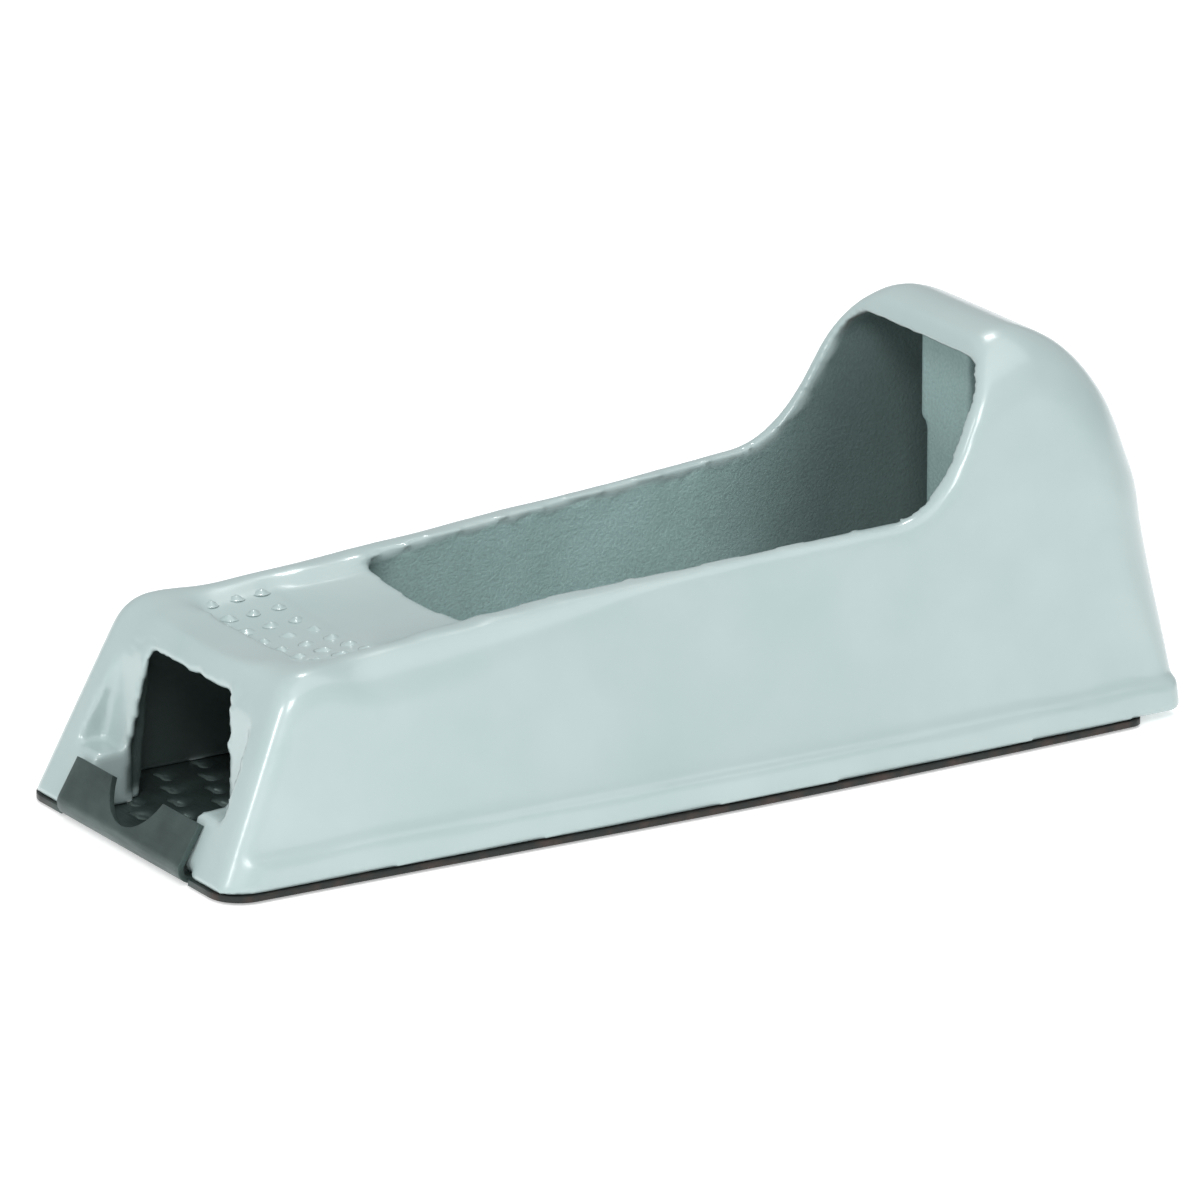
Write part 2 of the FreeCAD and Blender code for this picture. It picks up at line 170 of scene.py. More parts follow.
def piece_from(name, mesh, material):
    """Object made from a bmesh, which is then freed."""
    data = bpy.data.meshes.new(name)
    mesh.to_mesh(data)
    mesh.free()
    data.materials.append(material)
    return link(name, data)


def add_bevel(piece, width_mm, degrees):
    """Bevel on edges that turn by more than the angle."""
    bevel = piece.modifiers.new("Bevel", "BEVEL")
    bevel.width = width_mm * MM
    bevel.segments = 2
    bevel.limit_method = "ANGLE"
    bevel.angle_limit = math.radians(degrees)
    return bevel


def bridge(mesh, first, second, flip):
    """Faces between two loops of the same length."""
    size = len(first)
    for i in range(size):
        face = [first[i], first[(i + 1) % size], second[(i + 1) % size], second[i]]
        mesh.faces.new(face[::-1] if flip else face)


def add_attribute(mesh, name, values):
    layer = mesh.attributes.new(name, "FLOAT", "POINT")
    layer.data.foreach_set("value", np.asarray(values, np.float32))


# ----------------------------------------------------------------- materials
class Shader:
    """A Principled material and the few node chains that these pieces use."""

    def __init__(self, name, **constants):
        self.material = bpy.data.materials.new(name)
        self.material.use_nodes = True
        self.nodes = self.material.node_tree.nodes
        self.links = self.material.node_tree.links
        self.surface = self.nodes["Principled BSDF"]
        for socket, value in constants.items():
            self.surface.inputs[socket.replace("_", " ")].default_value = value
        self.place = self.nodes.new("ShaderNodeTexCoord").outputs["Object"]

    def to(self, socket, output):
        self.links.new(output, self.surface.inputs[socket])

    def grain(self, size_mm, detail=2.0, stretch=(1, 1, 1)):
        """Noise with grains of that size, drawn out along an axis by stretch."""
        mapping = self.nodes.new("ShaderNodeMapping")
        mapping.inputs["Scale"].default_value = [1 / s for s in stretch]
        self.links.new(self.place, mapping.inputs["Vector"])
        texture = self.nodes.new("ShaderNodeTexNoise")
        texture.inputs["Scale"].default_value = 1 / (size_mm * MM)
        texture.inputs["Detail"].default_value = detail
        self.links.new(mapping.outputs["Vector"], texture.inputs["Vector"])
        return texture.outputs["Fac"]

    def attribute(self, name):
        node = self.nodes.new("ShaderNodeAttribute")
        node.attribute_name = name
        return node.outputs["Fac"]

    def ramp(self, factor, *stops):
        """Ramp between two stops, each (position, colour or grey)."""
        node = self.nodes.new("ShaderNodeValToRGB")
        for element, (position, colour) in zip(node.color_ramp.elements, stops):
            colour = (colour,) * 3 if isinstance(colour, float) else colour
            element.position = position
            element.color = (*colour, 1)
        self.links.new(factor, node.inputs["Fac"])
        return node.outputs["Color"]

    def mix(self, factor, first, second, blend="MIX"):
        """Mix of two colours. Sockets 0, 6 and 7 are the node's factor and colours."""
        node = self.nodes.new("ShaderNodeMix")
        node.data_type = "RGBA"
        node.blend_type = blend
        for socket, value in ((0, factor), (6, first), (7, second)):
            if isinstance(value, bpy.types.NodeSocket):
                self.links.new(value, node.inputs[socket])
            else:
                node.inputs[socket].default_value = value
        return node.outputs[2]

    def bump(self, *layers):
        """Bump of several layers, each (height, depth in millimetres)."""
        below = None
        for height, depth_mm in layers:
            node = self.nodes.new("ShaderNodeBump")
            node.inputs["Distance"].default_value = depth_mm * MM
            self.links.new(height, node.inputs["Height"])
            if below is not None:
                self.links.new(below, node.inputs["Normal"])
            below = node.outputs["Normal"]
        self.to("Normal", below)


def grey(value):
    return (value, value, value, 1)


# Darker and lighter shade of each coat.
PAINT = ((0.370, 0.466, 0.461), (0.403, 0.494, 0.487))
THIN_PAINT = ((0.48, 0.68, 0.67), (0.59, 0.82, 0.80))
STAIN = ((0.86, 0.87, 0.86), (1.0, 1.0, 1.0))
# Painted shade: near-black colour laid on the inside where the toe's and heel's hollows lie in shade.
CAVITY_SHADE = (0.06, 0.085, 0.08, 1)
WORN_EDGE = (0.10, 0.085, 0.08, 1)
DARK_STEEL = ((0.052, 0.077, 0.072), (0.080, 0.115, 0.107))
CUT_STEEL = ((0.022, 0.026, 0.024), (0.055, 0.040, 0.034))
PLATED_STEEL = (0.62, 0.63, 0.62)
PLAIN_STEEL = (0.33, 0.34, 0.34)


def paint():
    """Glossy silver-grey paint outside, thin and sandy inside, with painted shade that darkens the inside
    of the toe and the heel.
    """
    shader = Shader("body_paint_looks", Metallic=0.0, Coat_Roughness=0.16, Coat_IOR=1.5)
    inside = shader.attribute("inside")
    edge = shader.attribute("edge")
    cloud = shader.grain(14.0, 3.0)
    speckle = shader.grain(0.45, 4.0)
    outer = shader.ramp(cloud, (0.3, PAINT[0]), (0.7, PAINT[1]))
    sand = shader.ramp(speckle, (0.32, THIN_PAINT[0]), (0.68, THIN_PAINT[1]))
    stain = shader.ramp(cloud, (0.35, STAIN[0]), (0.65, STAIN[1]))
    sand = shader.mix(1.0, sand, stain, "MULTIPLY")
    # Painted shade: the inside is darkened towards the toe's and heel's hollows.
    sand = shader.mix(shader.attribute("painted_shade"), sand, CAVITY_SHADE)
    colour = shader.mix(inside, outer, sand)
    colour = shader.mix(edge, colour, WORN_EDGE)
    shader.to("Base Color", colour)
    shader.to("Roughness", shader.mix(inside, grey(0.3), grey(0.75)))
    shader.to("Coat Weight", shader.mix(inside, grey(0.5), grey(0.0)))
    shader.to("Specular IOR Level", shader.mix(inside, grey(0.5), grey(0.15)))
    peel = shader.grain(1.6, 1.0)
    sandy = shader.mix(inside, grey(0.5), speckle)
    shader.bump((peel, 0.012), (sandy, 0.10))
    return shader.material


def blade_steel():
    """Dark hardened steel, darker and a little rusty on its cut edges."""
    shader = Shader("blade_steel_looks", Metallic=0.55)
    cloud = shader.grain(5.0, 4.0)
    streak = shader.grain(0.5, 3.0, (1, 12, 1))
    dark = shader.ramp(cloud, (0.3, DARK_STEEL[0]), (0.7, DARK_STEEL[1]))
    rust = shader.ramp(shader.grain(2.6, 3.0), (0.45, CUT_STEEL[0]), (0.7, CUT_STEEL[1]))
    shader.to("Base Color", shader.mix(shader.attribute("edge"), dark, rust))
    shader.to("Roughness", shader.ramp(streak, (0.3, 0.34), (0.7, 0.52)))
    shader.bump((streak, 0.01), (shader.grain(0.3, 2.0), 0.008))
    return shader.material


def bright_steel(name, colour, rough):
    """Plated or ground steel with fine marks."""
    shader = Shader(name, Metallic=0.95)
    marks = shader.grain(0.35, 4.0, (1, 6, 1))
    dim = tuple(0.7 * c for c in colour)
    shader.to("Base Color", shader.ramp(shader.grain(2.5, 4.0), (0.35, dim), (0.65, colour)))
    shader.to("Roughness", shader.ramp(marks, (0.3, rough), (0.7, rough + 0.18)))
    shader.bump((marks, 0.012))
    return shader.material


# ---------------------------------------------------------------------- body
VOXEL = 0.55
SMOOTHING = (8, 0.5, -0.52)    # rounds, pull and push that level the steps of the voxels
CORNER_ROUNDS = 50             # rounds of smoothing for the casting's soft parts
LIP_ROUNDS = 30
TIP_ROUNDS = 40
RIM_ROUNDS = 9                 # how far the outside paint laps over the rim
LUMP_HEIGHT = 0.28
LUMP_SIZES = (2.2, 0.9)

# Stretches over which the soft parts fade in and out.
CORNER_ACROSS = (9, 16)        # the toe's top corners
CORNER_UP = (22.4, 26.0)
CORNER_ALONG = (-50, -42)
LIP_INNER = (12, 14.5)         # lips beside the finger pad
LIP_OUTER = (16.5, 19)
LIP_UP = (23, 24.2)
LIP_ALONG = (-31, -28.5)
TIP_INNER = (10.8, 11.8)       # tips of the toe's pockets
TIP_OUTER = (17.5, 19.5)
TIP_LOWER = (18.5, 20.5)
TIP_UPPER = (23.5, 25)
TIP_REAR = -57

# Places that tell the body's inside from its outside.
DOTTED = (-56.6, -42)          # length of the pad that has the dots
DOTTED_HALF = 14.9
DOT_REACH = 0.9                # more than the height of a dot
HOLLOW = (-61.5, 70)           # length of the whole hollow
FACING = (-61.8, 70.5)         # length and height within which walls face one another
FACING_UP = (1.5, 50.5)
FACING_START = 0.8
FACING_END = 140
INNER_HALF = 25                # half-width within which low walls are inside
INNER_LOW = 1.1
OUTER_LOW = 2
HEEL = (49.8, 70.5)            # length, half-width and height of the heel's hollow
HEEL_HALF = 17
HEEL_UP = (2, 48.6)
TOE_REAR = -56                 # rear, half-width and height of the hollow behind the window
TOE_HALF = 16
TOE_UP = (2, 22)
FACE_WALL = 0.9                # how far behind the toe's face the inside starts
POCKET_WALL = 0.5              # and how far behind its pockets
WEB_HALF = 5.8
MOUTH = -30                    # front of the hand opening
RIM_FRONT = -27
RIM_LOW = 26.5
WINDOW_REAR = -60              # where the edge of the toe's window is ragged
WINDOW_HALF = 14.6
WINDOW_UP = (8, 23.2)
RAGGED_FADE = (0.6, 1.6)       # distances from that edge over which the lumps fade out
ARCH_UP = (44, 48)             # height and rear end of the arch's worn edge
ARCH_REAR = 56
TOE_SHADE_FADE = (-30, -22)          # lengths over which the painted shade of the toe's and heel's hollows fades towards the middle
HEEL_SHADE_FADE = (20, 48)
# How dark the painted shade gets in the heel, and on the web, which faces the light.
HEEL_SHADE_DEPTH = 0.8
WEB_SHADE_DEPTH = 0.45


def make_body(material):
    """The casting: edges rounded by the mould and the paint, with lumps where it was trimmed."""
    body = link("body_casting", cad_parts["body"].data.copy())
    remesh = body.modifiers.new("Remesh", "REMESH")
    remesh.mode = "VOXEL"
    remesh.voxel_size = VOXEL * MM
    applied(body)
    mesh = body.data
    edges = read_edges(mesh)
    points = softened(read_points(mesh), edges)
    write_points(mesh, points)
    inside = smoothed(inside_mask(mesh, points), edges, 2)
    below_rim = step(0.5, 0.97, smoothed(inside, edges, RIM_ROUNDS))
    inside = np.where(points[:, 0] > MOUTH * MM, below_rim, inside)
    points = trimmed(points, read_normals(mesh), trim_mask(points, inside))
    write_points(mesh, points)
    add_attribute(mesh, "inside", inside)
    add_attribute(mesh, "edge", arch_edge(points, inside))
    # Painted shade for the toe's and heel's hollows.
    add_attribute(mesh, "painted_shade", painted_inside_shade(points))
    mesh.materials.clear()
    mesh.materials.append(material)
    shade_smooth(body)
    return body


def softened(points, edges):
    """The remeshed points with the casting's edges rounded, more so at its soft parts."""
    points = flatten_pad(smoothed(points, edges, *SMOOTHING))
    points = smoothed(points, edges, CORNER_ROUNDS, weight=smoothed(toe_corner(points), edges, 6))
    points = smoothed(points, edges, LIP_ROUNDS, weight=pad_lip(points))
    points = smoothed(points, edges, TIP_ROUNDS, weight=pocket_tip(points))
    return smoothed(points, edges, 2, 0.4)


def pad_surface(points):
    """Height of the finger pad's dish at each point."""
    front, rear, lowest, radius = (value * MM for value in PAD)
    slope = RISE * (points[:, 0] - (front + rear) / 2)
    return lowest + slope + radius - np.sqrt(np.maximum(radius ** 2 - points[:, 1] ** 2, 0))


def flatten_pad(points):
    """Take the plain dots off the pad, as the pad_dots piece has them in full."""
    x, y, z = points.T
    surface = pad_surface(points)
    on_pad = between(x, DOTTED) & (abs(y) < DOTTED_HALF * MM) & (abs(z - surface) < DOT_REACH * MM)
    points = points.copy()
    points[on_pad, 2] = surface[on_pad]
    return points


def toe_corner(points):
    """1 where the toe's top corners are broadly rounded."""
    x, y, z = points.T
    return rise(abs(y), CORNER_ACROSS) * rise(z, CORNER_UP) * fall(x, CORNER_ALONG)


def pad_lip(points):
    """1 along the soft lips beside the finger pad."""
    x, y, z = points.T
    return rise(abs(y), LIP_INNER) * fall(abs(y), LIP_OUTER) * rise(z, LIP_UP) * fall(x, LIP_ALONG)


def pocket_tip(points):
    """1 where the tips of the toe's pockets run out into its face."""
    x, y, z = points.T
    across = rise(abs(y), TIP_INNER) * fall(abs(y), TIP_OUTER)
    return across * rise(z, TIP_LOWER) * fall(z, TIP_UPPER) * (x < TIP_REAR * MM)


def inside_mask(mesh, points):
    """1 where a vertex faces down or another wall of the casting, 0 outside."""
    tree = BVHTree.FromPolygons([tuple(p) for p in points], [tuple(f.vertices) for f in mesh.polygons])
    normals = read_normals(mesh)
    x, y, z = points.T
    low = np.where(abs(y) < INNER_HALF * MM, INNER_LOW * MM, OUTER_LOW * MM)
    mask = (normals[:, 2] < -0.1) & (z > low) & between(x, HOLLOW)
    for index in np.nonzero(~mask & between(x, FACING) & between(z, FACING_UP))[0]:
        normal = Vector(normals[index])
        start = Vector(points[index]) + normal * (FACING_START * MM)
        if normal.z < 0.6 and tree.ray_cast(start, normal, FACING_END * MM)[0] is not None:
            mask[index] = True
    in_heel = between(x, HEEL) & (abs(y) < HEEL_HALF * MM) & between(z, HEEL_UP)
    mask |= in_heel & (normals[:, 0] < 0.2)
    behind_face = x - TOE_FACE[0] * MM - TOE_FACE[1] * z
    behind_pocket = x - POCKET_BACK[0] * MM - POCKET_BACK[1] * z
    behind = (behind_face > FACE_WALL * MM) & (behind_pocket > POCKET_WALL * MM)
    mask |= behind & (x < TOE_REAR * MM) & (abs(y) < TOE_HALF * MM) & between(z, TOE_UP)
    return mask.astype(float)


def trim_mask(points, inside):
    """1 along the window's edge and the inner edge of the rim, where the casting was trimmed."""
    x, y, z = points.T
    half, top = (value * MM for value in WINDOW_TOP)
    from_side = abs(abs(y) - half - WINDOW_SPREAD * (top - z))
    from_top = abs(z - top)
    window = (x < WINDOW_REAR * MM) & between(z, WINDOW_UP) & (abs(y) < WINDOW_HALF * MM)
    ragged = window * fall(np.minimum(from_side, from_top), RAGGED_FADE)
    rim = (x > RIM_FRONT * MM) * (z > RIM_LOW * MM) * border_of(inside)
    return np.maximum(ragged, 0.8 * rim)


def border_of(inside):
    """1 halfway between the inside and the outside, 0 away from there."""
    return 4 * inside * (1 - inside)


def trimmed(points, normals, mask):
    """Points raised in lumps where the mask says."""
    rough = np.nonzero(mask > 0.02)[0]
    height = lumps(points[rough], LUMP_SIZES[0], 1) + 0.6 * lumps(points[rough], LUMP_SIZES[1], 2)
    points[rough] += normals[rough] * (LUMP_HEIGHT * MM * mask[rough] * height)[:, None]
    return points


def arch_edge(points, inside):
    """Near 1 on the thin edge of the arch, where the paint is worn off."""
    x, _, z = points.T
    return 0.8 * border_of(inside) * rise(z, ARCH_UP) * (x < ARCH_REAR * MM)


def painted_inside_shade(points):
    """Painted shade on the inside: least under the hand opening, less on the web that faces the light,
    most in the toe and the heel.
    """
    x, y, _ = points.T
    toe = fall(x, TOE_SHADE_FADE)
    heel = HEEL_SHADE_DEPTH * rise(x, HEEL_SHADE_FADE)
    web = (x > HEEL[0] * MM) & (abs(y) < WEB_HALF * MM)
    return np.where(web, WEB_SHADE_DEPTH, np.maximum(toe, heel))


# ---------------------------------------------------------------------- dots
DOT_COLUMNS = 4
DOT_ROWS = 7
DOT_FIRST_X = -55.0
DOT_STEP = (3.7, 4.5)
DOT_WIDTH = (0.94, 0.09)       # mean and spread
DOT_HEIGHT = (0.52, 0.06)
DOT_FLARE = 1.35               # a dot's foot is this much wider than the dot
DOT_SUNK = 0.06                # its foot lies this far in the pad
DOT_BULGE = 0.12
DOT_SEED = 7
DOT_RINGS = 9
DOT_TURNS = 20


def make_dots(material):
    """Raised dots of the finger pad: small drops of uneven size."""
    rng = np.random.default_rng(DOT_SEED)
    mesh = bmesh.new()
    for column in range(DOT_COLUMNS):
        for row in range(DOT_ROWS):
            x = (DOT_FIRST_X + DOT_STEP[0] * column) * MM
            y = DOT_STEP[1] * (row - (DOT_ROWS - 1) // 2) * MM
            add_dot(mesh, x, y, rng)
    dots = piece_from("pad_dots", mesh, material)
    shade_smooth(dots)
    return dots


def add_dot(mesh, x, y, rng):
    """One dot: a bell shape, slightly out of round."""
    wide = (DOT_WIDTH[0] + DOT_WIDTH[1] * rng.standard_normal()) * MM
    tall = (DOT_HEIGHT[0] + DOT_HEIGHT[1] * rng.standard_normal()) * MM
    bulge = DOT_BULGE * rng.standard_normal(2)
    foot = pad_surface(np.array([[x, y, 0.0]]))[0] - DOT_SUNK * MM
    loops = []
    for ring in range(DOT_RINGS + 1):
        share = ring / DOT_RINGS
        radius = DOT_FLARE * wide * (1 - share)
        level = foot + tall * (0.5 - 0.5 * math.cos(math.pi * share))
        loop = []
        for turn in range(DOT_TURNS if ring < DOT_RINGS else 1):
            angle = 2 * math.pi * turn / DOT_TURNS
            reach = radius * (1 + bulge[0] * math.cos(angle) ** 2 + bulge[1] * math.sin(2 * angle))
            loop.append(mesh.verts.new((x + reach * math.cos(angle), y + reach * math.sin(angle), level)))
        loops.append(loop)
    for low, high in zip(loops[:-1], loops[1:-1]):
        bridge(mesh, low, high, False)
    for a, b in zip(loops[-2], loops[-2][1:] + loops[-2][:1]):
        mesh.faces.new([a, b, loops[-1][0]])
    mesh.faces.new(loops[0][::-1])


# --------------------------------------------------------------------- blade
ROOTS = (BLADE[0] + TAB_BEND, BLADE[1] - TAB_BEND)  # where the tabs leave the flat sheet
NOTCH_HALF = math.sqrt(NOTCH[0] ** 2 - (NOTCH[1] - TAB_HEIGHT) ** 2)
OUTLINE_ENDS = (-67.6, 61.6)   # beyond these and OUTLINE_HALF the sheet has no slots
OUTLINE_HALF = 24.7
SLOT_TURNS = 16
DENT_REACH = (1.85, 2.2)       # half-lengths along X and Y of the dent round a slot
DENT_SHIFT = 0.3               # how far the dent lies towards the heel
SLOT_REACH = (1.15, 1.8)       # half-lengths of the slot
SLOT_BEND = 0.55               # how far its ends curve towards the toe
SLOT_NIP = 0.33                # how far its toe side is pressed in
LIP_CURL = 0.75                # how far the top of a tooth's lip is drawn down
EDGE_WIDTH = 0.9               # strip along the sheet's edge that looks cut
TAB_BENDS = 10
TAB_RISES = 8


def blade_outline():
    """Half of the sheet's edge on +Y, from toe to heel, as (x, y) in millimetres."""
    points = read_points(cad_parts["rasp_blade"].data) / MM
    x, y, z = points.T
    clear_of_slots = (x < OUTLINE_ENDS[0]) | (x > OUTLINE_ENDS[1]) | (y > OUTLINE_HALF)
    border = (abs(z) < 0.01) & (y > TAB_HALF + 0.1) & clear_of_slots
    rim = {(round(px, 2), round(py, 2)) for px, py in points[border, :2]}
    return sorted(rim, key=lambda p: (p[0], p[1] if p[0] < 0 else -p[1]))


def slot_places():
    """Middles of the slots, in slanting rows that stay clear of the sheet's edge."""
    middle = (BLADE[0] + BLADE[1]) / 2
    half_length = (BLADE[1] - BLADE[0]) / 2 - 2 * TOOTH_MARGIN
    most = 24                  # more rows and columns than fit on the sheet
    places = []
    for row in range(-most, most + 1):
        for along in range(-most, most + 1):
            x = middle + along * TOOTH_STEP[0] + row * ROW_STEP[0]
            y = along * TOOTH_STEP[1] + row * ROW_STEP[1]
            if abs(x - middle) < half_length and abs(y) < BLADE_HALF - TOOTH_MARGIN:
                places.append((x, y))
    return places


def slot_ring(share):
    """Outline round a slot: its edge at share 0, the flat sheet at share 1, with each point's drop."""
    ring = []
    for turn in range(SLOT_TURNS):
        angle = 2 * math.pi * turn / SLOT_TURNS
        u, v = math.cos(angle), math.sin(angle)
        nip = SLOT_NIP * max(0.0, -u) * (1 - abs(v)) ** 0.6
        slot_x = SLOT_REACH[0] * u - SLOT_BEND * v * v + nip
        dent_x = DENT_REACH[0] * u + DENT_SHIFT
        reach_y = SLOT_REACH[1] * (1 - share) + DENT_REACH[1] * share
        drop = max(0.0, 0.25 + 0.75 * u) * (1 - v ** 4) * (1 - share) ** 1.6
        ring.append((slot_x * (1 - share) + dent_x * share, reach_y * v, drop))
    return ring


def sheet_loop(side, columns):
    """Outline of the flat sheet, with the reliefs beside the roots of its tabs."""
    toe, heel = ROOTS
    front, rear = side[0][0], side[-1][0]
    relief = TAB_HALF + RELIEF
    loop = [(toe, y) for y in columns]
    loop += [(toe, relief), (front, relief)] + side + [(rear, relief), (heel, relief)]
    loop += [(heel, y) for y in reversed(columns)]
    loop += [(heel, -relief), (rear, -relief)]
    loop += [(x, -y) for x, y in reversed(side)] + [(front, -relief), (toe, -relief)]
    return [p for p, q in zip(loop, loop[1:] + loop[:1]) if math.dist(p, q) > 0.02]


def make_blade(material):
    """Rasp blade: a sheet with rows of punched teeth and a turned-up tab at each end."""
    mesh = bmesh.new()
    side = [p for p in blade_outline() if p[1] > TAB_HALF + RELIEF + 0.01]
    columns = tab_columns()
    loop = sheet_loop(side, columns)
    places = slot_places()
    under, top = add_sheet(mesh, loop, places)
    for number, place in enumerate(places):
        first = len(loop) + number * SLOT_TURNS
        ring = slice(first, first + SLOT_TURNS)
        add_tooth(mesh, place, under[ring], top[ring])
    for sign, end in zip((-1, 1), BLADE):
        add_tab(mesh, sign, end, columns)
    bmesh.ops.remove_doubles(mesh, verts=mesh.verts, dist=0.004 * MM)
    bmesh.ops.recalc_face_normals(mesh, faces=mesh.faces)
    blade = piece_from("rasp_blade_sheet", mesh, material)
    x, y, z = read_points(blade.data).T
    border = np.interp(x / MM, [p[0] for p in side], [p[1] for p in side])
    cut = step(EDGE_WIDTH, 0.0, border - abs(y) / MM) * (z < 0.9 * MM)
    add_attribute(blade.data, "edge", cut)
    add_bevel(blade, 0.09, 55)
    applied(blade)
    shade_smooth(blade)
    return blade


def add_sheet(mesh, loop, places):
    """Both faces and the edge of the sheet. Returns the vertices of its underside and its top."""
    flat = [Vector(p) for p in loop]
    borders = [list(range(len(loop)))]
    for x, y in places:
        start = len(flat)
        flat += [Vector((x + px, y + py)) for px, py, _ in slot_ring(1.0)]
        borders.append(list(range(start, start + SLOT_TURNS)))
    segments = [(a, b) for border in borders for a, b in zip(border, border[1:] + border[:1])]
    cut, _, triangles, _, _, _ = geometry.delaunay_2d_cdt(flat, segments, [], 0, 1e-6)
    under = [mesh.verts.new((p.x * MM, p.y * MM, 0.0)) for p in cut]
    top = [mesh.verts.new((p.x * MM, p.y * MM, SHEET * MM)) for p in cut]
    for triangle in triangles:
        middle = sum((cut[i] for i in triangle), Vector((0, 0))) / 3
        if in_sheet(middle, flat[:len(loop)], places):
            mesh.faces.new([under[i] for i in reversed(triangle)])
            mesh.faces.new([top[i] for i in triangle])
    for a, b in zip(borders[0], borders[0][1:] + [0]):
        if not (is_root(loop[a]) and is_root(loop[b])):
            mesh.faces.new([under[a], under[b], top[b], top[a]])
    return under, top


def is_root(point):
    """Whether a point of the outline lies on the root of a tab."""
    return abs(point[1]) < TAB_HALF + 0.01 and min(abs(point[0] - x) for x in ROOTS) < 0.01


def in_sheet(point, outline, places):
    """Whether a triangle's middle lies on the sheet and off every slot's dent."""
    inside = False
    for a, b in zip(outline, outline[1:] + outline[:1]):
        if (a.y > point.y) != (b.y > point.y):
            if point.x < a.x + (b.x - a.x) * (point.y - a.y) / (b.y - a.y):
                inside = not inside
    if not inside:
        return False
    near = min(((point.x - x - DENT_SHIFT) / DENT_REACH[0]) ** 2 + ((point.y - y) / DENT_REACH[1]) ** 2
               for x, y in places)
    return near > 0.97


def add_tooth(mesh, place, under, top):
    """A slot with its tooth formed down, starting from the dent's border on both faces."""
    for share in (0.66, 0.33, 0.0):
        ring = [(place[0] + px, place[1] + py, drop) for px, py, drop in slot_ring(share)]
        low = [mesh.verts.new((x * MM, y * MM, -TOOTH_DROP * drop * MM)) for x, y, drop in ring]
        high = [mesh.verts.new((x * MM, y * MM, (SHEET - LIP_CURL * drop) * MM)) for x, y, drop in ring]
        bridge(mesh, under, low, True)
        bridge(mesh, top, high, False)
        under, top = low, high
    bridge(mesh, under, top, True)


def tab_columns():
    """Stations across a tab, closer together at its notch."""
    wide = np.linspace(-TAB_HALF, -NOTCH_HALF, 10)
    notch = NOTCH_HALF * np.sin(np.linspace(-math.pi / 2, math.pi / 2, 25))
    return [float(y) for y in np.concatenate([wide[:-1], notch, -wide[::-1][1:]])]


def tab_top(y):
    """Height of a tab's tip at station y."""
    if abs(y) >= NOTCH_HALF:
        return TAB_HEIGHT
    radius, centre = NOTCH
    return min(TAB_HEIGHT, centre - math.sqrt(radius ** 2 - y ** 2))


def tab_line(y, radius):
    """Section of one face of a tab at station y, from its root to its tip, as (along, up)."""
    turn = math.pi / 2 + TAB_LEAN
    line = []
    for i in range(TAB_BENDS + 1):
        angle = turn * i / TAB_BENDS
        line.append((-TAB_BEND + radius * math.sin(angle), TAB_BEND - radius * math.cos(angle)))
    along, up = line[-1]
    fold_top = TAB_BEND - TAB_BEND * math.cos(turn)
    reach = (tab_top(y) - fold_top) / math.cos(TAB_LEAN)
    for i in range(1, TAB_RISES + 1):
        share = reach * i / TAB_RISES
        line.append((along - share * math.sin(TAB_LEAN), up + share * math.cos(TAB_LEAN)))
    return line


def add_tab(mesh, sign, end, columns):
    """Folded strip from the sheet's end up to the tip, with its round notch."""
    outer, inner = [], []
    for grid, radius in ((outer, TAB_BEND), (inner, TAB_BEND - SHEET)):
        for y in columns:
            places = [(end + sign * along, y, up) for along, up in tab_line(y, radius)]
            grid.append([mesh.verts.new(Vector(place) * MM) for place in places])
        for a, b in zip(grid, grid[1:]):
            add_strip(mesh, a, b)
    for i in range(len(columns) - 1):
        mesh.faces.new([outer[i][-1], inner[i][-1], inner[i + 1][-1], outer[i + 1][-1]])
    for column in (0, -1):
        add_strip(mesh, outer[column], inner[column])


def add_strip(mesh, a, b):
    """Faces between two open lines of the same length."""
    for i in range(len(a) - 1):
        mesh.faces.new([a[i], a[i + 1], b[i + 1], b[i]])


# --------------------------------------------------------------------- screw
SCREW_RADIUS = 2.0
SCREW_TURNS = 40
THREAD_PITCH = 0.7
THREAD_DEPTH = 0.33
THREAD_RINGS = 10              # rings of vertices in each pitch
POINT_LENGTH = 0.8             # taper at the screw's end
POINT_DEPTH = 0.55
HEAD_HEIGHT = 2.5
HEAD_BREAK = 0.15              # broken edge under the head
HEAD_ROUNDING = 0.6
DRIVER_SLOT = (1.2, 1.1)       # depth and width


def thread_radius(along, turned):
    """Radius of the thread at a distance from the screw's end, after that share of a turn."""
    phase = (along / (THREAD_PITCH * MM) - turned) % 1.0
    taper = POINT_DEPTH * (1 - min(1.0, along / (POINT_LENGTH * MM)))
    return (SCREW_RADIUS - THREAD_DEPTH * abs(2 * phase - 1) - taper) * MM


def screw_stations(low, high):
    """Stations along the screw, each (x, radius), without a radius where the thread gives it."""
    bearing = high.x - HEAD_HEIGHT * MM
    radius = (high.z - low.z) / 2
    length = bearing - low.x
    count = int(length / (THREAD_PITCH * MM) * THREAD_RINGS)
    stations = [(low.x + length * i / count, None) for i in range(count + 1)]
    stations += [(bearing, radius - HEAD_BREAK * MM), (bearing + HEAD_BREAK * MM, radius)]
    rounding = HEAD_ROUNDING * MM
    for i in range(7):
        angle = math.pi / 2 * i / 6
        x = high.x - rounding + rounding * math.sin(angle)
        stations.append((x, radius - rounding * (1 - math.cos(angle))))
    return stations


